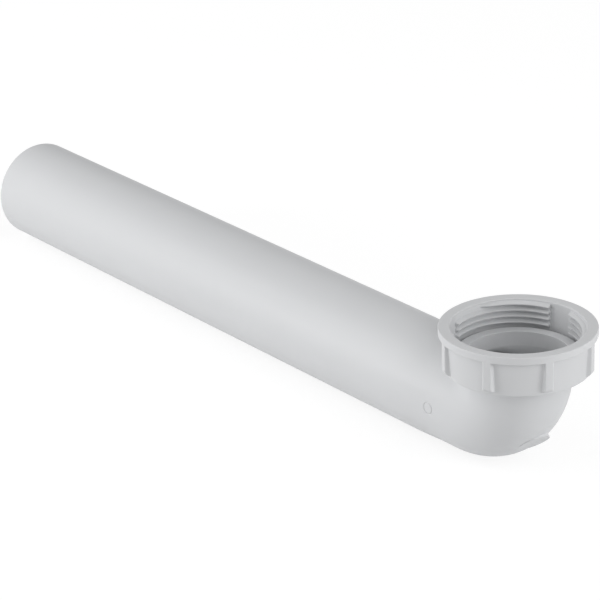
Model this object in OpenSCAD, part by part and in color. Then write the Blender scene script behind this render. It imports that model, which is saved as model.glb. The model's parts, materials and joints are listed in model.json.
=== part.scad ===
// Drain connection elbow: a long plain pipe, a tight right-angle bend and a captive union nut.
// Sizes are in millimetres. The origin is the centre of the sealing face, on the nut's axis.
// +Z is the way the nut opens, and the pipe runs away along -X.

/* [Pipe] */
// Outside diameter of the drain pipe
pipe_d = 40; // [36:0.5:42]
// Wall thickness of the pipe, the bend and the neck
wall = 1.8; // [1.5:0.1:2.4]
// Distance from the nut's axis to the far end of the pipe
reach = 307; // [120:1:400]
// Chamfer round the outside of the pipe's far end
end_chamfer = 0.6; // [0.2:0.1:1]

/* [Bend] */
// How much less the bend measures across than the pipe
waist = 0.8; // [0.2:0.1:1.6]
// Length of the taper from the pipe down to the bend
waist_len = 14; // [6:1:30]
// Length of straight pipe between the taper and the bend
waist_run = 6.4; // [1:0.2:20]
// Radius of the inside corner, where the pipe meets the neck
corner_r = 0.2; // [0.2:0.1:2]

/* [Heel pad] */
// Diameter of the flat round pad on the outside of the bend
pad_d = 11.2; // [6:0.2:14]
// Height of the pad above the crown of the bend
pad_rise = 0.5; // [0.2:0.1:1.5]
// Angle of the pad round the bend, from the pipe's end of it
pad_angle = 46; // [35:1:55]

/* [Mould ring] */
// Outside diameter of the plain ring sunk in the side of the pipe
ring_d = 4.8; // [3:0.1:6]
// Width of the ring's groove
ring_w = 0.5; // [0.3:0.1:0.8]
// Depth of the ring's groove at its middle
ring_depth = 0.35; // [0.25:0.05:0.6]

/* [Collar] */
// Thickness of the collar that holds the nut and carries the seal
collar_t = 2.3; // [1.6:0.1:4]
// Radial gap between the collar and the crests of the nut's thread
collar_gap = 0.12; // [0.1:0.02:1]
// Chamfer at the edge of the bore, in the sealing face
seat_chamfer = 0.6; // [0.2:0.1:1]
// Chamfer round the collar's outer edges
collar_chamfer = 0.3; // [0.1:0.1:0.6]

/* [Nut thread] */
// Major diameter of the nut's thread
thread_d = 47.8; // [46:0.1:50]
// Depth of the thread from root to crest
thread_depth = 1.48; // [1.2:0.02:1.8]
// Extra room behind the roots, in the reliefs and round the collar
root_room = 0.1; // [0.05:0.05:0.4]
// Length of wall at the crest diameter
thread_len = 7.2; // [5:0.1:12]
// Height of the slope at each end of that wall
thread_slope = 0.8; // [0.4:0.1:1.5]
// Number of smooth reliefs that part the thread
relief_count = 3; // [2:1:4]
// Width of each relief
relief_w = 9.3; // [4:0.1:12]
// Turn of the reliefs from the grip ribs, in degrees
relief_turn = -2.6; // [-20:0.2:20]

/* [Nut body] */
// Wall of the nut behind the thread, under the flange
nut_wall = 3; // [2:0.1:5]
// How much the skirt narrows in radius from the flange to its lower edge
skirt_draft = 0.7; // [0.2:0.1:1]
// How far the flange stands out past the skirt
flange_lip = 1.2; // [0.8:0.1:2]
// Thickness of the flange
flange_t = 2.9; // [1.5:0.1:5]
// Rounding of the flange's upper edge
flange_round = 0.4; // [0.2:0.1:0.8]
// Plain mouth above the thread
mouth_depth = 0.95; // [0.5:0.05:2]
// Rounding at the mouth's inner edge
mouth_round = 0.5; // [0.2:0.1:0.8]
// Thickness of the nut's floor, which pulls on the collar
floor_t = 2.5; // [1.5:0.1:4]
// Room in the nut above the sealing face and below the thread
headroom = 0.6; // [0.3:0.05:2]
// Chamfer round the skirt's lower edge
skirt_chamfer = 0.3; // [0.1:0.1:0.6]
// Turn of the nut on the neck, in degrees
nut_turn = -19.7; // [-180:0.1:180]

/* [Grip ribs] */
// Number of grip ribs
rib_count = 8; // [4:1:12]
// Width of a rib where it leaves the skirt
rib_foot_w = 3.9; // [2:0.1:6]
// Width of a rib's outer face
rib_face_w = 2.9; // [1:0.1:4]
// Height of a rib's lower end above the nut's lower edge
rib_rise = 1.2; // [0.8:0.1:4]
// Rounding of a rib's lower end
rib_round = 1.8; // [0.5:0.1:3]

/* [Running clearances] */
// Gap between the nut's lower edge and the straight start of the neck
nut_gap = 0.1; // [0.1:0.05:1]
// Gap between the nut's floor and the collar above it
nut_play = 0.3; // [0.3:0.05:1.5]
// Radial gap between the nut's floor and the neck
neck_gap = 0.3; // [0.2:0.05:1]

/* [Hidden] */
$fn = 96;

// Overlap that joins or cuts through neighbouring shapes
bite = wall / 4;

pipe_r = pipe_d / 2;
pipe_bore_r = pipe_r - wall;
bend_r = pipe_r - waist / 2;
bend_bore_r = bend_r - wall;

// Radius of the bend's centre line
sweep_r = bend_r + corner_r;
taper_end_x = -(sweep_r + waist_run);
taper_start_x = taper_end_x - waist_len;

crest_r = thread_d / 2 - thread_depth;
root_r = thread_d / 2 + root_room;
collar_r = crest_r - collar_gap;

// Heights are measured from the sealing face, down to the pipe's axis and up to the nut's top
floor_top_z = -collar_t - nut_play;
nut_low_z = floor_top_z - floor_t;
neck_low_z = nut_low_z - nut_gap;
axis_z = neck_low_z - sweep_r;
thread_low_z = headroom + thread_slope;
thread_top_z = thread_low_z + thread_len;
nut_top_z = thread_top_z + thread_slope + mouth_depth;

skirt_top_r = root_r + nut_wall;
skirt_low_r = skirt_top_r - skirt_draft;
flange_r = skirt_top_r + flange_lip;
flange_low_z = nut_top_z - flange_t;
rib_low_z = nut_low_z + rib_rise;
hole_r = bend_r + neck_gap;
relief_angle = 2 * asin(relief_w / 2 / root_r);

module turned_along_x() {
    rotate([0, 90, 0]) children();
}

// The straight pipe with its broken end edge, its taper and the run up to the bend
module straight_pipe() {
    translate([0, 0, axis_z])
        turned_along_x()
            rotate_extrude()
                polygon([
                    [pipe_bore_r, -reach],
                    [pipe_r - end_chamfer, -reach],
                    [pipe_r, -reach + end_chamfer],
                    [pipe_r, taper_start_x],
                    [bend_r, taper_end_x],
                    [bend_r, -sweep_r],
                    [bend_bore_r, -sweep_r],
                    [bend_bore_r, taper_end_x],
                    [pipe_bore_r, taper_start_x]
                ]);
}

module tight_bend() {
    translate([-sweep_r, 0, neck_low_z])
        rotate([-90, 0, 0])
            rotate_extrude(angle = 90)
                translate([sweep_r, 0])
                    difference() {
                        circle(r = bend_r);
                        circle(r = bend_bore_r);
                    }
}

// The neck that the nut turns on, with the collar that holds it and the sealing face on top
module neck_and_collar() {
    rotate_extrude()
        polygon([
            [bend_bore_r, neck_low_z],
            [bend_r, neck_low_z],
            [bend_r, -collar_t],
            [collar_r - collar_chamfer, -collar_t],
            [collar_r, -collar_t + collar_chamfer],
            [collar_r, -collar_chamfer],
            [collar_r - collar_chamfer, 0],
            [bend_bore_r + seat_chamfer, 0],
            [bend_bore_r, -seat_chamfer]
        ]);
}

// A flat round pad where the plastic entered the mould, square to the bend's outer face
module heel_pad() {
    pad_depth = wall - bite;
    translate([-sweep_r, 0, neck_low_z])
        rotate([0, 180 - pad_angle, 0])
            translate([0, 0, sweep_r + bend_r - pad_depth])
                cylinder(h = pad_depth + pad_rise, d = pad_d);
}

// A plain ring sunk in the pipe's side, level with its axis
module mould_ring() {
    translate([taper_end_x, -bend_r + ring_depth, axis_z])
        rotate([90, 0, 0])
            rotate_extrude()
                translate([ring_d / 2 - ring_w, 0]) square([ring_w, ring_depth + bite]);
}

module elbow_pipe() {
    color([0.80, 0.81, 0.82])
        difference() {
            union() {
                straight_pipe();
                tight_bend();
                neck_and_collar();
                heel_pad();
            }
            mould_ring();
        }
}

// The nut without its lands and ribs, as one turned section
module nut_shell() {
    rotate_extrude()
        difference() {
            polygon([
                [hole_r, nut_low_z],
                [skirt_low_r - skirt_chamfer, nut_low_z],
                [skirt_low_r, nut_low_z + skirt_chamfer],
                [skirt_top_r, flange_low_z],
                [flange_r, flange_low_z],
                [flange_r, nut_top_z],
                [root_r, nut_top_z],
                [root_r, floor_top_z],
                [hole_r, floor_top_z]
            ]);
            translate([root_r, nut_top_z]) top_rounding(1, mouth_round);
            translate([flange_r, nut_top_z]) top_rounding(-1, flange_round);
        }
}

// What a rounding takes off an upper corner of a turned section. The section lies towards larger
// radii from the corner where side is 1, and towards smaller ones where it is -1.
module top_rounding(side, radius) {
    difference() {
        translate([side > 0 ? -bite : -radius, -radius]) square([radius + bite, radius + bite]);
        translate([side * radius, -radius]) circle(r = radius);
    }
}

// One of the lands that carry the thread, between two reliefs
module thread_land() {
    land_angle = 360 / relief_count - relief_angle;
    slope_end = thread_slope * (root_r + bite - crest_r) / (root_r - crest_r);
    rotate([0, 0, relief_angle / 2])
        rotate_extrude(angle = land_angle)
            polygon([
                [root_r + bite, thread_low_z - slope_end],
                [crest_r, thread_low_z],
                [crest_r, thread_top_z],
                [root_r + bite, thread_top_z + slope_end]
            ]);
}

// Grip ribs flush with the flange, tapered in width and rounded off at the lower end
module grip_ribs() {
    rib_h = flange_low_z + bite - rib_low_z;
    foot_r = skirt_low_r - bite;
    face_r = flange_r + bite;
    widening = (rib_foot_w - rib_face_w) / (2 * flange_lip);
    intersection() {
        for (i = [0 : rib_count - 1])
            rotate([0, 0, i * 360 / rib_count])
                translate([0, 0, rib_low_z])
                    linear_extrude(rib_h)
                        polygon([
                            [foot_r, -rib_face_w / 2 - (flange_r - foot_r) * widening],
                            [face_r, -rib_face_w / 2 + bite * widening],
                            [face_r, rib_face_w / 2 - bite * widening],
                            [foot_r, rib_face_w / 2 + (flange_r - foot_r) * widening]
                        ]);
        rotate_extrude()
            difference() {
                translate([foot_r, rib_low_z]) square([flange_r - foot_r, rib_h]);
                translate([flange_r - rib_round, rib_low_z])
                    difference() {
                        square([rib_round + bite, rib_round]);
                        translate([0, rib_round]) circle(r = rib_round);
                    }
            }
    }
}

module union_nut() {
    color([0.78, 0.79, 0.80])
        rotate([0, 0, nut_turn])
            union() {
                nut_shell();
                grip_ribs();
                for (i = [0 : relief_count - 1])
                    rotate([0, 0, relief_turn + i * 360 / relief_count]) thread_land();
            }
}

elbow_pipe();
union_nut();
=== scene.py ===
"""Looks of a drain connection elbow: a long pipe, a tight bend and a captive union nut.

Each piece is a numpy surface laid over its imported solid, in metres and in the solid's frame: the
origin is the centre of the sealing face, +Z is the way the nut opens, and the pipe runs along -X.
"""

import json
import logging
import math
from dataclasses import dataclass
from enum import Enum

import bmesh
import bpy
import numpy as np
from mathutils import Matrix, Vector


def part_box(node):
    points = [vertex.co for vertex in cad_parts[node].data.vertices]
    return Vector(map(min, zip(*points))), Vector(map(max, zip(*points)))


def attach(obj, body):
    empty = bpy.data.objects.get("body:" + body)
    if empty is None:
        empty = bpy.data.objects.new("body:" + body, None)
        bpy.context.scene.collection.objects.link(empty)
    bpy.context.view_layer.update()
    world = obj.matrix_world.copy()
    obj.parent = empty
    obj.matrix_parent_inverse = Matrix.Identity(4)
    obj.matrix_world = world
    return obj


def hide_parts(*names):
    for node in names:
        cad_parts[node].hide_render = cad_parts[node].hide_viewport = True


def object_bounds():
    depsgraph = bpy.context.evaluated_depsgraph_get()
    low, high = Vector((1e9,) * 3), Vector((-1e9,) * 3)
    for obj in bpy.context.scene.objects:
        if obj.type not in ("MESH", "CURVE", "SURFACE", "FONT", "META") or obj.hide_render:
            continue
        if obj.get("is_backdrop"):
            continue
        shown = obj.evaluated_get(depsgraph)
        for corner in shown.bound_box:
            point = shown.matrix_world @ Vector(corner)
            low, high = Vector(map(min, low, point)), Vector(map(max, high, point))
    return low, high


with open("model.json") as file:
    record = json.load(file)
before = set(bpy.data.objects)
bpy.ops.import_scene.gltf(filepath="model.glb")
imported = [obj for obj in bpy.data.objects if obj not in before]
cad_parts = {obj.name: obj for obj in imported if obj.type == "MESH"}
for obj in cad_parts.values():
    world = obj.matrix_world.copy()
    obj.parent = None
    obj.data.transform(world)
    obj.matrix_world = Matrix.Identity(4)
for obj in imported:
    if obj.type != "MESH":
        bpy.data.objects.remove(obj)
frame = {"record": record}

MM = 0.001
TURN = 2.0 * math.pi
IMAGE_SIDE = 600

log = logging.getLogger("elbow")


class Slot(Enum):
    """The record's material slots, by the piece that takes each."""

    PIPE = "pipe_plastic"
    NUT = "nut_plastic"


class Node(Enum):
    """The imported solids, by the name each has in the frame."""

    PIPE = "elbow_pipe"
    NUT = "union_nut"


def unit(vector: np.ndarray) -> np.ndarray:
    """Returns the vector, or each vector along the last axis, at length one."""
    return vector / np.linalg.norm(vector, axis=-1, keepdims=True)


def ease(value: np.ndarray) -> np.ndarray:
    """Returns 3t^2 - 2t^3 with t held between 0 and 1, which leaves and arrives level."""
    held = np.clip(value, 0.0, 1.0)
    return held * held * (3.0 - 2.0 * held)


def soft_min(first: np.ndarray, second: np.ndarray, blend: float) -> np.ndarray:
    """Smaller of two heights, with the crease between them rounded.

    Formula: min(a, b) - max(k - |a - b|, 0)^2 / 4k, with k the blend.

    Args:
        first: Heights of the first surface.
        second: Heights of the second surface.
        blend: How far apart in height the surfaces start to blend.

    Returns:
        The blended heights.
    """
    near = np.maximum(blend - np.abs(first - second), 0.0)
    return np.minimum(first, second) - near * near / (4.0 * blend)


def soft_max(first: np.ndarray, second: np.ndarray, blend: float) -> np.ndarray:
    """Larger of two heights with the crease filled, as soft_min of both turned over."""
    return -soft_min(-first, -second, blend)


def rounded_line(corners: list[tuple[float, float, float]], closed: bool,
                 steps: int = 5, lead: float = 0.05 * MM) -> np.ndarray:
    """Rounds each corner of a line of straight stretches with an arc of its own radius.

    With a and b the unit directions into and out of a corner and h half the turn between them,
    the arc touches the stretches r tan(h) away from the corner, and its centre lies r / cos(h)
    along b - a. A point a little before and after each arc keeps the flats flat when shaded.

    Args:
        corners: First coordinate, second coordinate and rounding radius of each corner.
        closed: Whether the line runs from its last corner back to the first.
        steps: Number of stretches in each arc.
        lead: Distance from an arc's end to the extra point beside it.

    Returns:
        The line's points as an array of rows of two coordinates.
    """
    table = np.array(corners, float)
    spots, radii = table[:, :2], table[:, 2]
    count = len(spots)
    pieces = []
    for index in range(count):
        inner = closed or 0 < index < count - 1
        if radii[index] <= 0.0 or not inner:
            pieces.append(spots[index:index + 1])
            continue
        spot = spots[index]
        into = unit(spot - spots[index - 1])
        out = unit(spots[(index + 1) % count] - spot)
        half = 0.5 * math.acos(float(np.clip(into @ out, -1.0, 1.0)))
        reach = radii[index] * math.tan(half)
        centre = spot + unit(out - into) * radii[index] / math.cos(half)
        first = spot - into * reach - centre
        last = spot + out * reach - centre
        share = np.linspace(0.0, 1.0, steps + 1)[:, None]
        arc = (np.sin((1.0 - share) * 2.0 * half) * first + np.sin(share * 2.0 * half) * last)
        arc = centre + arc / math.sin(2.0 * half)
        before = spot - into * (reach + lead)
        after = spot + out * (reach + lead)
        pieces.append(np.vstack([before, arc, after]))
    return np.vstack(pieces)


class Draft:
    """A mesh in the making: vertex and face arrays that are joined at the end."""

    def __init__(self) -> None:
        """Starts with no vertices and no faces."""
        self.spots: list[np.ndarray] = []
        self.faces: list[np.ndarray] = []
        self.count = 0

    def grid(self, points: np.ndarray, wrap_rows: bool = False, wrap_columns: bool = False,
             caps: bool = False) -> None:
        """Adds a surface of four-sided faces over a grid of points.

        Args:
            points: Array of rows by columns by three coordinates.
            wrap_rows: Whether the last row joins the first.
            wrap_columns: Whether the last column joins the first.
            caps: Whether the first and last rows, each a ring, are closed with a fan.
        """
        rows, columns = points.shape[:2]
        index = self.count + np.arange(rows * columns).reshape(rows, columns)
        down = np.vstack([index, index[:1]]) if wrap_rows else index
        if wrap_columns:
            down = np.hstack([down, down[:, :1]])
        quads = np.stack([down[:-1, :-1], down[:-1, 1:], down[1:, 1:], down[1:, :-1]], -1)
        self.spots.append(points.reshape(-1, 3))
        self.faces.append(quads.reshape(-1, 4))
        self.count += rows * columns
        if caps:
            self.fan(points[0], index[0])
            self.fan(points[-1], index[-1])

    def fan(self, ring: np.ndarray, index: np.ndarray) -> None:
        """Closes a ring with triangles to a vertex at its middle.

        Args:
            ring: The ring's points.
            index: The ring's vertex numbers.
        """
        self.spots.append(ring.mean(axis=0, keepdims=True))
        centre = np.full(len(index), self.count)
        self.faces.append(np.stack([index, np.roll(index, -1), centre], -1))
        self.count += 1

    def build(self, name: str) -> bpy.types.Object:
        """Makes the object, merges what coincides and turns every shell's faces outwards.

        Args:
            name: The piece's name.

        Returns:
            The object, at the origin, with its place in its mesh.
        """
        mesh = bpy.data.meshes.new(name)
        faces = [face for block in self.faces for face in block.tolist()]
        mesh.from_pydata(np.vstack(self.spots).tolist(), [], faces)
        shape = bmesh.new()
        shape.from_mesh(mesh)
        bmesh.ops.remove_doubles(shape, verts=shape.verts, dist=0.0004 * MM)
        bmesh.ops.dissolve_degenerate(shape, edges=shape.edges, dist=0.0002 * MM)
        bmesh.ops.recalc_face_normals(shape, faces=shape.faces)
        shape.to_mesh(mesh)
        shape.free()
        mesh.shade_smooth()
        piece = bpy.data.objects.new(name, mesh)
        bpy.context.scene.collection.objects.link(piece)
        return piece


class Signal:
    """A number socket that Python's operators extend with Math nodes."""

    def __init__(self, graph: "Graph", socket: bpy.types.NodeSocket) -> None:
        """Keeps the socket and the graph that new nodes go into."""
        self.graph = graph
        self.socket = socket

    def _math(self, operation: str, *values: "Signal | float") -> "Signal":
        """Adds one Math node over the values and returns its result."""
        node = self.graph.node("ShaderNodeMath", {"operation": operation}, dict(enumerate(values)))
        return Signal(self.graph, node.outputs[0])

    def __add__(self, other: "Signal | float") -> "Signal":
        """self + other."""
        return self._math("ADD", self, other)

    __radd__ = __add__

    def __mul__(self, other: "Signal | float") -> "Signal":
        """self * other."""
        return self._math("MULTIPLY", self, other)

    __rmul__ = __mul__

    def __sub__(self, other: "Signal | float") -> "Signal":
        """self - other."""
        return self._math("SUBTRACT", self, other)

    def __rsub__(self, other: "Signal | float") -> "Signal":
        """other - self."""
        return self._math("SUBTRACT", other, self)

    def larger(self, other: "Signal | float") -> "Signal":
        """The larger of self and other."""
        return self._math("MAXIMUM", self, other)


class Graph:
    """Nodes and links of one material or world."""

    def __init__(self, owner: bpy.types.Material | bpy.types.World) -> None:
        """Empties the owner's node tree and keeps it."""
        owner.use_nodes = True
        self.tree = owner.node_tree
        self.tree.nodes.clear()

    def node(self, kind: str, settings: dict[str, object] | None = None,
             inputs: dict[str | int, object] | None = None) -> bpy.types.Node:
        """Adds a node, with its settings before its sockets.

        Args:
            kind: The node's type name.
            settings: Attributes of the node.
            inputs: Socket names or numbers, each with a value, a socket or a Signal.

        Returns:
            The new node.
        """
        made = self.tree.nodes.new(kind)
        for name, value in (settings or {}).items():
            setattr(made, name, value)
        for name, value in (inputs or {}).items():
            if isinstance(value, Signal):
                value = value.socket
            if isinstance(value, bpy.types.NodeSocket):
                self.tree.links.new(value, made.inputs[name])
            else:
                made.inputs[name].default_value = value
        return made

    def noise(self, where: object, scale: float, detail: float = 2.0, roughness: float = 0.5) -> Signal:
        """A noise that swings about nought.

        Args:
            where: Socket with the place.
            scale: Swings per metre.
            detail: Number of finer layers.
            roughness: Share that each finer layer keeps.

        Returns:
            The noise, from about -0.5 to 0.5.
        """
        made = self.node("ShaderNodeTexNoise", {},
                         {"Vector": where, "Scale": scale, "Detail": detail, "Roughness": roughness})
        return Signal(self, made.outputs["Fac"]) - 0.5


@dataclass(frozen=True)
class PlasticFinish:
    """Moulded light grey plastic, with a fine grain and faint flow marks along one direction."""

    name: str
    colour: tuple[float, float, float]
    roughness: float
    roughness_swing: float
    tint_swing: float
    grain_per_metre: float
    grain_depth: float
    flow_stretch: tuple[float, float, float]
    flow_depth: float

    def make(self) -> bpy.types.Material:
        """Builds the material.

        The colour swings a little over centimetres and over the flow marks, the roughness over
        millimetres, and a bump adds the spark-worn mould's grain and the flow marks.

        Returns:
            The material.
        """
        made = bpy.data.materials.new(self.name)
        graph = Graph(made)
        place = graph.node("ShaderNodeTexCoord").outputs["Object"]
        flow_place = graph.node("ShaderNodeMapping", {}, {"Vector": place, "Scale": self.flow_stretch})
        cloud = graph.noise(place, 38.0, 3.0)
        speckle = graph.noise(place, 900.0, 2.0)
        grain = graph.noise(place, self.grain_per_metre, 3.0, 0.6)
        flow = graph.noise(flow_place.outputs["Vector"], 1.0, 3.0, 0.55)
        shade = 1.0 + (cloud * 1.2 + speckle * 0.35 + flow * 0.5) * self.tint_swing
        tinted = graph.node("ShaderNodeVectorMath", {"operation": "SCALE"}, {0: self.colour, "Scale": shade})
        rough = self.roughness + (speckle + flow * 0.8) * self.roughness_swing
        height = grain * self.grain_depth + flow * self.flow_depth
        bump = graph.node("ShaderNodeBump", {}, {"Strength": 1.0, "Distance": 1.0, "Height": height})
        surface = graph.node("ShaderNodeBsdfPrincipled", {}, {
            "Base Color": tinted.outputs["Vector"], "Roughness": rough, "IOR": 1.49,
            "Specular IOR Level": 0.42, "Normal": bump.outputs["Normal"]})
        graph.node("ShaderNodeOutputMaterial", {}, {"Surface": surface.outputs["BSDF"]})
        return made


PIPE_FINISH = PlasticFinish(
    name="pipe_moulded_plastic", colour=(0.640, 0.648, 0.660), roughness=0.46, roughness_swing=0.10,
    tint_swing=0.035, grain_per_metre=5200.0, grain_depth=0.012 * MM,
    flow_stretch=(9.0, 260.0, 260.0), flow_depth=0.010 * MM)
NUT_FINISH = PlasticFinish(
    name="nut_moulded_plastic", colour=(0.630, 0.637, 0.648), roughness=0.50, roughness_swing=0.12,
    tint_swing=0.030, grain_per_metre=6000.0, grain_depth=0.014 * MM,
    flow_stretch=(180.0, 180.0, 40.0), flow_depth=0.008 * MM)


@dataclass
class ElbowPipe:
    """The moulded pipe: spigot, taper, tight bend, neck, collar, heel pad and mould ring.

    Lengths along the pipe are counted from its plain end to the sealing face.
    """

    reach: float
    axis_z: float
    pipe_radius: float
    wall: float = 1.8 * MM
    bend_radius: float = 19.6 * MM
    sweep_radius: float = 19.8 * MM
    taper_start_x: float = -40.2 * MM
    taper_end_x: float = -26.2 * MM
    collar_radius: float = 22.3 * MM
    collar_thickness: float = 2.3 * MM
    bore_flare: float = 0.55 * MM
    end_round: float = 0.55 * MM
    pad_radius: float = 6.1 * MM
    pad_face: float = 39.27 * MM
    pad_lean: float = 0.139
    pad_lean_turn: float = math.radians(54.6)
    pad_angle: float = math.radians(46.0)
    ring_x: float = -26.2 * MM
    ring_radius: float = 2.15 * MM
    ring_width: float = 0.62 * MM
    ring_depth: float = 0.22 * MM

    @classmethod
    def from_frame(cls) -> "ElbowPipe":
        """Takes reach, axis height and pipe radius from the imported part's box and mounts."""
        low, _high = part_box(Node.PIPE.value)
        spigot = next(m for m in frame["record"]["mounts"] if m["name"] == "spigot")
        return cls(reach=-low.x, axis_z=spigot["pos_m"][2], pipe_radius=spigot["dims"]["r_mm"] * MM)

    @property
    def straight(self) -> float:
        """Length of the straight pipe, up to the bend."""
        return self.reach - self.sweep_radius

    @property
    def bend_length(self) -> float:
        """Length of the bend's centre line."""
        return self.sweep_radius * TURN / 4.0

    @property
    def neck_low_z(self) -> float:
        """Height at which the bend ends and the neck starts."""
        return self.axis_z + self.sweep_radius

    @property
    def neck_length(self) -> float:
        """Length of the neck, from the bend to the sealing face."""
        return -self.neck_low_z

    @property
    def length(self) -> float:
        """Length of the whole centre line, from the plain end to the sealing face."""
        return self.straight + self.bend_length + self.neck_length

    def place(self, along: np.ndarray, radius: np.ndarray, turn: np.ndarray) -> np.ndarray:
        """Puts points of the bar round its bent centre line.

        The centre line is straight, then a quarter circle, then straight up. At angle a round
        the bend the outward direction is (sin a, 0, -cos a), and a point lies at the centre plus
        radius times cos(turn) outwards plus radius times sin(turn) along Y.

        Args:
            along: Distance along the centre line.
            radius: Distance from the centre line.
            turn: Angle round the centre line, 0 at the outside of the bend.

        Returns:
            The points, with three coordinates along the last axis.
        """
        bend = np.clip(along - self.straight, 0.0, self.bend_length) / self.sweep_radius
        before = np.minimum(along - self.straight, 0.0)
        after = np.maximum(along - self.straight - self.bend_length, 0.0)
        outward = self.sweep_radius + radius * np.cos(turn)
        x = -self.sweep_radius + before + outward * np.sin(bend)
        z = self.neck_low_z + after - outward * np.cos(bend)
        return np.stack(np.broadcast_arrays(x, radius * np.sin(turn), z), -1)

    def _bar_radius(self, along: np.ndarray) -> np.ndarray:
        """Outside radius of the bar, eased from the pipe's to the bend's over the taper."""
        x = along - self.reach
        share = ease((x - self.taper_start_x) / (self.taper_end_x - self.taper_start_x))
        return self.pipe_radius + (self.bend_radius - self.pipe_radius) * share

    def _stations(self, fine: bool) -> np.ndarray:
        """Distances along the centre line at which the bar gets a ring of vertices.

        Args:
            fine: Whether the stretch with the mould ring is closely spaced.

        Returns:
            The distances, in order, clear of both ends.
        """
        taper = np.array([self.taper_start_x, self.taper_end_x]) + self.reach
        parts = [np.linspace(6.0 * MM, taper[0] - 4.0 * MM, 16),
                 np.linspace(taper[0], taper[1], 15),
                 np.linspace(self.straight, self.straight + self.bend_length, 64 if fine else 40),
                 np.array([self.length - self.collar_thickness - 1.2 * MM])]
        if fine:
            middle = self.ring_x + self.reach
            parts.append(middle + np.linspace(-1.0, 1.0, 61) * (self.ring_radius + 0.8 * MM))
            heel = self.straight + self.sweep_radius * self.pad_angle
            parts.append(heel + np.linspace(-1.0, 1.0, 37) * 0.56 * self.pad_radius)
        joined = np.sort(np.concatenate(parts))
        return joined[np.append(True, np.diff(joined) > 0.03 * MM)]

    def _turns(self) -> np.ndarray:
        """Angles round the centre line, closely spaced at the mould ring and at the heel pad."""
        coarse = np.arange(180) * TURN / 180.0
        ring = (self.ring_radius + 0.8 * MM) / self.bend_radius
        pad = 1.06 * self.pad_radius / self.bend_radius
        close = np.concatenate([0.75 * TURN + np.linspace(-1.0, 1.0, 61) * ring,
                                np.linspace(-1.0, 1.0, 41) * pad]) % TURN
        off_pad = np.abs((coarse + 0.5 * TURN) % TURN - 0.5 * TURN)
        kept = coarse[(np.abs(coarse - 0.75 * TURN) > ring + 0.004) & (off_pad > pad + 0.004)]
        return np.sort(np.concatenate([kept, close]))

    def _sink_ring(self, points: np.ndarray, outside: np.ndarray) -> np.ndarray:
        """Sinks the plain mould ring into the side of the pipe.

        The depth is the ring's depth times ease(1 - |d - r| / (w / 2)) doubled and capped at one,
        with d the distance from the ring's middle in the side view.

        Args:
            points: The bar's grid of points.
            outside: Which rows lie on the outside.

        Returns:
            The points, with those in the ring moved inwards.
        """
        away = np.hypot(points[..., 0] - self.ring_x, points[..., 2] - self.axis_z)
        share = 1.0 - np.abs(away - self.ring_radius) / (0.5 * self.ring_width)
        depth = self.ring_depth * ease(1.6 * share)
        near = outside[:, None] & (points[..., 1] < 0.0)
        moved = points.copy()
        moved[..., 1] += np.where(near, depth, 0.0)
        return moved

    def _bar(self, draft: Draft) -> None:
        """Adds the bar: its closed section of distance and radius, carried round the centre line."""
        bore_end = self.pipe_radius - self.wall
        bore_neck = self.bend_radius - self.wall
        under = self.length - self.collar_thickness
        outer = self._stations(fine=True)
        inner = self._stations(fine=False)[::-1]
        inner = inner[inner < self.straight + self.bend_length - 0.5 * MM]
        corners = [(0.0, bore_end, 0.2 * MM), (0.0, self.pipe_radius, self.end_round)]
        corners += [(s, r, 0.0) for s, r in zip(outer, self._bar_radius(outer))]
        corners += [(under, self.bend_radius, 0.2 * MM), (under, self.collar_radius, 0.3 * MM),
                    (self.length, self.collar_radius, 0.3 * MM),
                    (self.length, bore_neck + self.bore_flare, 0.15 * MM),
                    (self.length - self.neck_length, bore_neck, 4.0 * MM)]
        corners += [(s, r - self.wall, 0.0) for s, r in zip(inner, self._bar_radius(inner))]
        section = rounded_line(corners, closed=True)
        points = self.place(section[:, :1], section[:, 1:], self._turns()[None, :])
        outside = section[:, 1] > self._bar_radius(section[:, 0]) - 0.5 * self.wall
        points = self._trim_heel(self._sink_ring(points, outside), outside)
        draft.grid(points, wrap_rows=True, wrap_columns=True)

    def _pad_axes(self) -> tuple[np.ndarray, np.ndarray, np.ndarray, np.ndarray]:
        """The bend's centre, and the pad's directions outwards, round the bend and across it."""
        sine, cosine = math.sin(self.pad_angle), math.cos(self.pad_angle)
        return (np.array([-self.sweep_radius, 0.0, self.neck_low_z]), np.array([sine, 0.0, -cosine]),
                np.array([cosine, 0.0, sine]), np.array([0.0, 1.0, 0.0]))

    def _pad_plane(self, ring: np.ndarray, turn: np.ndarray) -> np.ndarray:
        """Height of the pad's flat face, h + k r cos(t - s): it leans by k towards the turn s."""
        return self.pad_face + self.pad_lean * ring * np.cos(turn - self.pad_lean_turn)

    def _heel(self, ring: np.ndarray, turn: np.ndarray) -> np.ndarray:
        """Height of the bend's outside over the plane through the bend's centre, at the pad.

        With u and v the distances from the pad's middle round the bend and across it, the height
        is sqrt((R + sqrt(r^2 - v^2))^2 - u^2), R the bend's centre line and r the bar's radius.
        """
        round_bend = ring * np.cos(turn)
        across = ring * np.sin(turn)
        crown = self.sweep_radius + np.sqrt(self.bend_radius ** 2 - across ** 2)
        return np.sqrt(crown ** 2 - round_bend ** 2)

    def _trim_heel(self, points: np.ndarray, outside: np.ndarray) -> np.ndarray:
        """Cuts the bend down to the pad's flat face where that lies below the bend.

        Args:
            points: The bar's grid of points.
            outside: Which rows lie on the outside.

        Returns:
            The points, with those above the face lowered to it inside the pad's circle.
        """
        centre, outward, round_bend, across = self._pad_axes()
        away = points - centre
        height = away @ outward
        ring = np.hypot(away @ round_bend, away @ across)
        turn = np.arctan2(away @ across, away @ round_bend)
        inside = ease((self.pad_radius - ring) / (0.2 * MM)) * (height > 0.0) * outside[:, None]
        cut = np.minimum(self._pad_plane(ring, turn) - height, 0.0) * inside
        return points + cut[..., None] * outward

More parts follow.
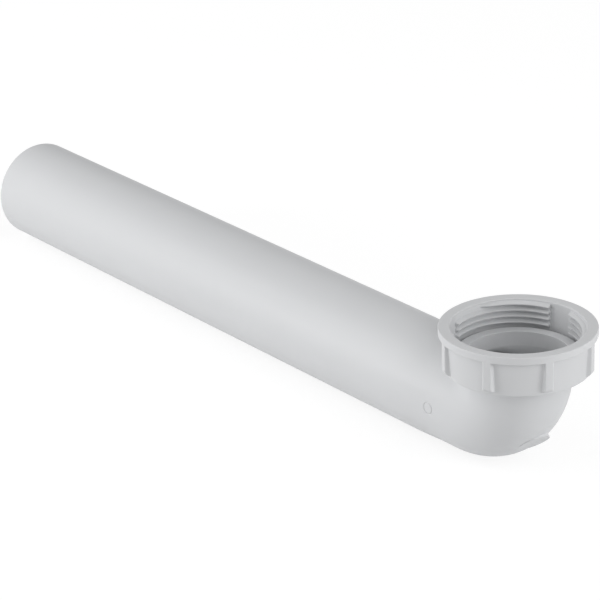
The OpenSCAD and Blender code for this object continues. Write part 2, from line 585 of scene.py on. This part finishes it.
    def _pad(self, draft: Draft) -> None:
        """Adds the flat round pad on the heel, where its leaning face stands above the bend.

        The pad is a turned section in rings about its own axis. Where the face lies below the
        bend, the rings sink under the trimmed surface, and the lowest rings follow the bend.
        """
        turn = np.linspace(0.0, TURN, 121)[None, :-1]
        arc = np.linspace(0.0, TURN / 4.0, 5)[:, None]
        edge, foot, sink = 0.15 * MM, 0.12 * MM, 0.4 * MM
        flat = np.linspace(0.01, 1.0, 16)[:, None] * (self.pad_radius - edge - 0.05 * MM)
        top = np.vstack([flat, self.pad_radius - edge + edge * np.sin(arc)]) + 0.0 * turn
        fall = np.vstack([0.0 * flat, edge * (1.0 - np.cos(arc))])
        skirt = self.pad_radius + np.array([[0.0], [foot], [foot]]) + 0.0 * turn
        rings = np.vstack([top, skirt])
        heel = self._heel(rings, turn)
        plane = self._pad_plane(rings, turn)
        hidden = sink * (1.0 - ease((plane - heel + 0.03 * MM) / (0.06 * MM)))
        face = plane[:len(top)] - fall - hidden[:len(top)]
        low = heel[len(top):] + np.array([[foot], [-0.02 * MM], [-0.6 * MM]]) - hidden[len(top):]
        heights = np.vstack([face, np.minimum(low, face[-1:])])
        centre, outward, round_bend, across = self._pad_axes()
        points = (centre + heights[..., None] * outward + (rings * np.cos(turn))[..., None] * round_bend
                  + (rings * np.sin(turn))[..., None] * across)
        draft.grid(points, wrap_columns=True, caps=True)

    def build(self) -> bpy.types.Object:
        """Builds the pipe, dresses it and lets it stand for its solid.

        Returns:
            The finished piece.
        """
        draft = Draft()
        self._bar(draft)
        self._pad(draft)
        piece = draft.build("elbow_pipe_moulding")
        piece.data.materials.append(PIPE_FINISH.make())
        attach(piece, "elbow")
        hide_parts(Node.PIPE.value)
        return piece


@dataclass
class UnionNut:
    """The captive nut: floor, skirt with grip ribs, flange, mouth and interrupted thread."""

    low_z: float
    top_z: float
    flange_radius: float
    crest_radius: float
    hole_radius: float = 19.9 * MM
    floor_top_z: float = -2.6 * MM
    skirt_top_radius: float = 27.0 * MM
    skirt_draft: float = 0.7 * MM
    flange_thickness: float = 2.9 * MM
    root_radius: float = 24.0 * MM
    rib_count: int = 8
    rib_turn: float = math.radians(-19.7)
    rib_foot_width: float = 3.9 * MM
    rib_face_width: float = 2.9 * MM
    rib_rise: float = 1.2 * MM
    rib_round: float = 1.8 * MM
    pitch: float = 2.309 * MM
    crest_width: float = 0.35 * MM
    flank: float = math.radians(27.5)
    thread_top_z: float = 8.5 * MM
    thread_zero: float = math.radians(142.364)
    first_turn: float = -33.0 / 360.0
    last_turn: float = 3.3
    relief_count: int = 3
    relief_middle: float = math.radians(97.7)
    relief_width: float = 9.3 * MM
    land_step: float = 0.16 * MM
    land_low_z: float = 0.3 * MM
    land_top_z: float = 9.2 * MM

    @classmethod
    def from_frame(cls) -> "UnionNut":
        """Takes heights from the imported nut's box and the crest radius from its mount."""
        low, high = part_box(Node.NUT.value)
        thread = next(m for m in frame["record"]["mounts"] if m["name"] == "union_thread")
        return cls(low_z=low.z, top_z=high.z, flange_radius=28.2 * MM,
                   crest_radius=thread["dims"]["r_mm"] * MM)

    @property
    def flange_low_z(self) -> float:
        """Height of the flange's underside."""
        return self.top_z - self.flange_thickness

    @property
    def rib_low_z(self) -> float:
        """Height of the ribs' lower ends."""
        return self.low_z + self.rib_rise

    def _skirt_radius(self, height: np.ndarray) -> np.ndarray:
        """Radius of the skirt, which narrows evenly from the flange down to the lower edge."""
        share = (height - self.low_z) / (self.flange_low_z - self.low_z)
        return self.skirt_top_radius - self.skirt_draft * (1.0 - share)

    def _section(self) -> np.ndarray:
        """The nut's closed section of radius and height, without its ribs."""
        round_top = self.rib_low_z + self.rib_round
        levels = np.concatenate([np.linspace(self.rib_low_z - 0.25 * MM, round_top + 0.1 * MM, 18),
                                 np.linspace(round_top + 0.8 * MM, self.flange_low_z - 0.7 * MM, 5)])
        corners = [(self.hole_radius, self.low_z, 0.2 * MM),
                   (self._skirt_radius(self.low_z), self.low_z, 0.35 * MM)]
        corners += [(r, z, 0.0) for r, z in zip(self._skirt_radius(levels), levels)]
        corners += [(self.skirt_top_radius, self.flange_low_z, 0.3 * MM),
                    (self.flange_radius, self.flange_low_z, 0.3 * MM),
                    (self.flange_radius, self.top_z, 0.4 * MM),
                    (self.root_radius, self.top_z, 0.5 * MM)]
        ends = np.linspace(-0.2, 0.2, 5) * MM
        corners += [(self.root_radius, z, 0.0) for z in (*(self.land_top_z - ends), *(self.land_low_z - ends))]
        corners += [(self.root_radius, self.floor_top_z, 0.3 * MM),
                    (self.hole_radius, self.floor_top_z, 0.2 * MM)]
        return rounded_line(corners, closed=True)

    def _angles(self) -> np.ndarray:
        """Angles round the nut, closely spaced at both sides of each rib."""
        pitch = TURN / self.rib_count
        side = np.radians(np.linspace(2.2, 5.6, 24))
        between = np.linspace(side[-1], pitch - side[-1], 24)[1:-1]
        one = np.concatenate([[0.0], side, between, pitch - side[::-1]])
        ribs = (self.rib_turn + pitch * np.arange(self.rib_count)[:, None] + one).ravel()
        edges = self.relief_middle + TURN / self.relief_count * np.arange(self.relief_count)[:, None]
        edges = edges + np.array([-1.0, 1.0]) * self._relief_half()
        close = (edges.ravel()[:, None] + np.radians(np.linspace(-0.3, 0.3, 5))).ravel()
        joined = np.sort(np.concatenate([ribs, close]) % TURN)
        return joined[np.append(True, np.diff(joined) > math.radians(0.02))]

    def _relief_half(self) -> float:
        """Half the angle that a relief takes at the roots."""
        return math.asin(0.5 * self.relief_width / self.root_radius)

    def _land_depth(self, angle: np.ndarray, height: np.ndarray) -> np.ndarray:
        """How far the thread's roots stand in from the reliefs' wall: a plateau with eased edges."""
        pitch = TURN / self.relief_count
        off = np.abs((angle - self.relief_middle + 0.5 * pitch) % pitch - 0.5 * pitch)
        land = ease((off - self._relief_half()) / math.radians(0.3) + 0.5)
        ends = ease((height - self.land_low_z) / (0.4 * MM) + 0.5)
        return self.land_step * land * ends * ease((self.land_top_z - height) / (0.4 * MM) + 0.5)

    def _rib_radius(self, angle: np.ndarray, height: np.ndarray) -> np.ndarray:
        """Radius of the ribs' surface, which is low wherever there is no rib.

        A rib's side is the plane on which the half width is face / 2 + (F - R) w, F the flange's
        radius and w the widening, so at an angle a from the rib's middle the radius is
        (face / 2 + F w) / (sin a + w). It is cut by the flange's radius, and at the lower end by
        a quarter round, F - q + sqrt(q^2 - (c - z)^2), with q the rounding and c its centre.

        Args:
            angle: Angles round the nut, as columns.
            height: Heights, as rows.

        Returns:
            The ribs' radius over the grid.
        """
        pitch = TURN / self.rib_count
        off = np.abs((angle - self.rib_turn + 0.5 * pitch) % pitch - 0.5 * pitch)
        lip = self.flange_radius - self.skirt_top_radius
        widening = (self.rib_foot_width - self.rib_face_width) / (2.0 * lip)
        side = (self.rib_face_width / 2.0 + self.flange_radius * widening) / (np.sin(off) + widening)
        drop = np.clip(self.rib_low_z + self.rib_round - height, 0.0, self.rib_round)
        cut = self.flange_radius - self.rib_round + np.sqrt(self.rib_round ** 2 - drop ** 2)
        ribs = soft_min(side, cut, 0.45 * MM)
        return np.where(height < self.rib_low_z, 0.0, ribs)

    def _shell(self, draft: Draft) -> None:
        """Adds the turned section, pushed out to the ribs where they stand above it."""
        section = self._section()
        radius, height = section[:, :1], section[:, 1:]
        angle = self._angles()[None, :]
        skirt = (radius > self.root_radius + 1.0 * MM) & (height < self.flange_low_z + 0.4 * MM)
        ribs = self._rib_radius(angle, height)
        ribbed = soft_max(radius + 0.0 * angle, ribs, 0.35 * MM)
        ribbed = np.minimum(ribbed, np.maximum(self.flange_radius, radius))
        full = np.where(skirt & (height > self.rib_low_z), ribbed, radius + 0.0 * angle)
        inside = (np.abs(radius - self.root_radius) < 0.01 * MM) & (height > self.floor_top_z + 0.5 * MM)
        full = np.where(inside, full - self._land_depth(angle, height), full)
        points = np.stack([full * np.cos(angle), full * np.sin(angle), height + 0.0 * angle], -1)
        draft.grid(points, wrap_rows=True, wrap_columns=True)

    def _ridge_section(self) -> np.ndarray:
        """A ridge's section: radius, and height over the crest's lower edge, foot in the wall."""
        rise = (self.root_radius - self.crest_radius) * math.tan(self.flank)
        buried = self.root_radius + 0.4 * MM
        corners = [(buried, -rise, 0.0), (self.root_radius, -rise, 0.0),
                   (self.crest_radius, 0.0, 0.12 * MM),
                   (self.crest_radius, self.crest_width, 0.12 * MM),
                   (self.root_radius, self.crest_width + rise, 0.0),
                   (buried, self.crest_width + rise, 0.0)]
        return rounded_line(corners, closed=False)

    def _stretches(self) -> list[tuple[float, float]]:
        """The thread's stretches between reliefs, in turns counted clockwise from the zero."""
        half = self._relief_half() / TURN
        middle = (self.thread_zero - self.relief_middle) / TURN
        found = []
        for index in range(-3, 3 * (int(self.last_turn) + 2)):
            start = middle + index / self.relief_count + half
            end = middle + (index + 1) / self.relief_count - half
            start, end = max(start, self.first_turn), min(end, self.last_turn)
            if end - start > 0.01:
                found.append((start, end))
        return found

    def _ridge(self, draft: Draft, start: float, end: float) -> None:
        """Adds one stretch of the helical ridge.

        At t turns the crest's lower edge is at the thread's top less t pitches, and the angle is
        the zero less t full turns. With d the share of a run-out behind the point, the depth is
        scaled by ease(d) at the thread's own ends, and by the cube root of 1 - (1 - d)^3 at a
        relief, where the ridge ends in a steep face with a rounded top.

        Args:
            draft: The mesh in the making.
            start: First turn.
            end: Last turn.
        """
        fade, face = 14.0 / 360.0, 0.5 * MM / (TURN * self.root_radius)
        first = fade if start <= self.first_turn else face
        last = fade if end >= self.last_turn else face
        share = np.linspace(0.0, 1.0, 9) ** 1.7
        middle = np.linspace(start + first, end - last, max(int((end - start) * 200), 3))
        turns = np.concatenate([start + share * first, middle[1:-1], end - share[::-1] * last])
        scale = np.ones_like(turns)
        for behind, length in ((turns - start, first), (end - turns, last)):
            part = np.clip(behind / length, 0.0, 1.0)
            scale *= ease(part) if length == fade else np.cbrt(1.0 - (1.0 - part) ** 3)
        scale = scale[:, None]
        section = self._ridge_section()
        depth = np.minimum(section[:, 0] - self.root_radius, 0.0)
        beyond = np.maximum(section[:, 0] - self.root_radius, 0.0)
        radius = self.root_radius + 0.02 * MM * (1.0 - scale) + depth * scale + beyond
        middle_height = 0.5 * self.crest_width
        height = (self.thread_top_z - self.pitch * turns[:, None] + middle_height
                  + (section[:, 1] - middle_height) * (0.6 + 0.4 * scale))
        angle = self.thread_zero - TURN * turns[:, None]
        points = np.stack([radius * np.cos(angle), radius * np.sin(angle), height], -1)
        draft.grid(points, wrap_columns=True, caps=True)

    def build(self) -> bpy.types.Object:
        """Builds the nut, dresses it and lets it stand for its solid.

        Returns:
            The finished piece.
        """
        draft = Draft()
        self._shell(draft)
        for start, end in self._stretches():
            self._ridge(draft, start, end)
        piece = draft.build("union_nut_moulding")
        piece.data.materials.append(NUT_FINISH.make())
        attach(piece, "nut")
        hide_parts(Node.NUT.value)
        return piece


@dataclass(frozen=True)
class Softbox:
    """A square lamp that faces the object from an azimuth and an elevation, in degrees."""

    name: str
    azimuth: float
    elevation: float
    side: float
    power: float
    distance: float = 1.6

    def build(self, aim: Vector) -> bpy.types.Object:
        """Adds the lamp.

        Args:
            aim: The place that the lamp faces.

        Returns:
            The lamp's object.
        """
        turn, rise = math.radians(self.azimuth), math.radians(self.elevation)
        away = Vector((math.cos(turn) * math.cos(rise), math.sin(turn) * math.cos(rise), math.sin(rise)))
        lamp = bpy.data.lights.new(self.name, "AREA")
        lamp.shape = "SQUARE"
        lamp.size = self.side
        lamp.energy = self.power
        holder = bpy.data.objects.new(self.name, lamp)
        holder.location = aim + away * self.distance
        holder.rotation_euler = away.to_track_quat("Z", "Y").to_euler()
        bpy.context.scene.collection.objects.link(holder)
        return holder


@dataclass
class Studio:
    """A pale floor under the object, soft lamps round it and an even pale sky."""

    floor_z: float
    floor_side: float = 8.0
    sky: float = 0.42
    floor_glow: float = 1.12
    floor_glow_share: float = 0.75
    softboxes: tuple[Softbox, ...] = (
        Softbox("softbox_left_low", -121.0, 13.0, 0.6, 10.2),
        Softbox("softbox_left_high", -135.0, 38.0, 0.7, 5.0),
        Softbox("softbox_right_low", 28.0, 12.0, 0.6, 7.8),
        Softbox("softbox_right_high", -4.0, 38.0, 0.7, 4.0),
        Softbox("softbox_top", 30.0, 63.0, 0.8, 1.4),
    )

    def _floor_material(self) -> bpy.types.Material:
        """Pale floor: what the camera or a reflection sees is mostly white, and keeps the shadow."""
        made = bpy.data.materials.new("studio_floor")
        graph = Graph(made)
        path = graph.node("ShaderNodeLightPath")
        seen = (Signal(graph, path.outputs["Is Camera Ray"])
                .larger(Signal(graph, path.outputs["Is Glossy Ray"]))
                .larger(Signal(graph, path.outputs["Is Transmission Ray"])))
        matte = graph.node("ShaderNodeBsdfDiffuse", {}, {"Color": (0.86, 0.86, 0.86, 1.0)})
        glow = graph.node("ShaderNodeEmission", {}, {"Strength": self.floor_glow})
        mixed = graph.node("ShaderNodeMixShader", {}, {
            0: seen * self.floor_glow_share, 1: matte.outputs[0], 2: glow.outputs[0]})
        graph.node("ShaderNodeOutputMaterial", {}, {"Surface": mixed.outputs[0]})
        return made

    def _floor(self) -> None:
        """Adds the floor, one flat sheet under the object."""
        half = 0.5 * self.floor_side
        ends = np.array([-half, half])
        x, y = np.meshgrid(ends, ends, indexing="ij")
        draft = Draft()
        draft.grid(np.stack([x, y, np.full_like(x, self.floor_z)], -1))
        floor = draft.build("studio_floor")
        for face in floor.data.polygons:
            if face.normal.z < 0.0:
                floor.data.flip_normals()
                break
        floor.data.materials.append(self._floor_material())
        floor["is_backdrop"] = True

    def _sky(self) -> None:
        """An even sky that lights the object, and is white to the camera and in reflections."""
        world = bpy.data.worlds.new("studio_sky")
        bpy.context.scene.world = world
        graph = Graph(world)
        path = graph.node("ShaderNodeLightPath")
        seen = Signal(graph, path.outputs["Is Camera Ray"])
        strength = self.sky + seen * (1.0 - self.sky)
        sky = graph.node("ShaderNodeBackground", {}, {"Color": (1.0, 1.0, 1.0, 1.0), "Strength": strength})
        graph.node("ShaderNodeOutputWorld", {}, {"Surface": sky.outputs[0]})

    def build(self, aim: Vector) -> None:
        """Adds floor, sky and lamps.

        Args:
            aim: The place that the lamps face.
        """
        self._floor()
        self._sky()
        for softbox in self.softboxes:
            softbox.build(aim)
        view = bpy.context.scene.view_settings
        view.view_transform = "Standard"


@dataclass(frozen=True)
class PhotoCamera:
    """The camera of the photograph, as fitted to it: angles in degrees, image sizes in pixels."""

    position: tuple[float, float, float] = (690.216 * MM, -627.945 * MM, 417.373 * MM)
    azimuth: float = 52.364
    elevation: float = 23.169
    roll: float = -1.612
    focal: float = 2897.42
    middle_x: float = 301.175
    middle_y: float = 307.676
    sensor: float = 36.0

    def build(self) -> bpy.types.Object:
        """Adds the camera and makes it the scene's own.

        The camera looks against b = (sin az cos el, -cos az cos el, sin el). Its right is
        (cos az, sin az, 0) and its up their cross product, both turned by the roll.

        Returns:
            The camera's object.
        """
        azimuth, elevation, roll = (math.radians(a) for a in (self.azimuth, self.elevation, self.roll))
        back = Vector((math.sin(azimuth) * math.cos(elevation),
                       -math.cos(azimuth) * math.cos(elevation), math.sin(elevation)))
        level = Vector((math.cos(azimuth), math.sin(azimuth), 0.0))
        upright = back.cross(level)
        right = math.cos(roll) * level + math.sin(roll) * upright
        up = -math.sin(roll) * level + math.cos(roll) * upright
        lens = bpy.data.cameras.new("photo_camera")
        lens.sensor_width = self.sensor
        lens.lens = self.focal / IMAGE_SIDE * self.sensor
        lens.shift_x = 0.5 - self.middle_x / IMAGE_SIDE
        lens.shift_y = self.middle_y / IMAGE_SIDE - 0.5
        lens.clip_start = 0.05
        lens.clip_end = 50.0
        camera = bpy.data.objects.new("photo_camera", lens)
        turned = Matrix((right, up, back)).transposed().to_4x4()
        camera.matrix_world = Matrix.Translation(Vector(self.position)) @ turned
        bpy.context.scene.collection.objects.link(camera)
        bpy.context.scene.camera = camera
        return camera


def main() -> None:
    """Builds the camera, the pieces and the studio."""
    logging.basicConfig(level=logging.INFO, format="%(message)s")
    packed_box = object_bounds()
    PhotoCamera().build()
    low, high = packed_box
    for sub_assembly in (ElbowPipe.from_frame(), UnionNut.from_frame()):
        piece = sub_assembly.build()
        log.info("%s: %d faces", piece.name, len(piece.data.polygons))
    aim = Vector([0.5 * (a + b) for a, b in zip(low, high)])
    Studio(floor_z=low[2]).build(aim)


if __name__ == "__main__":
    main()
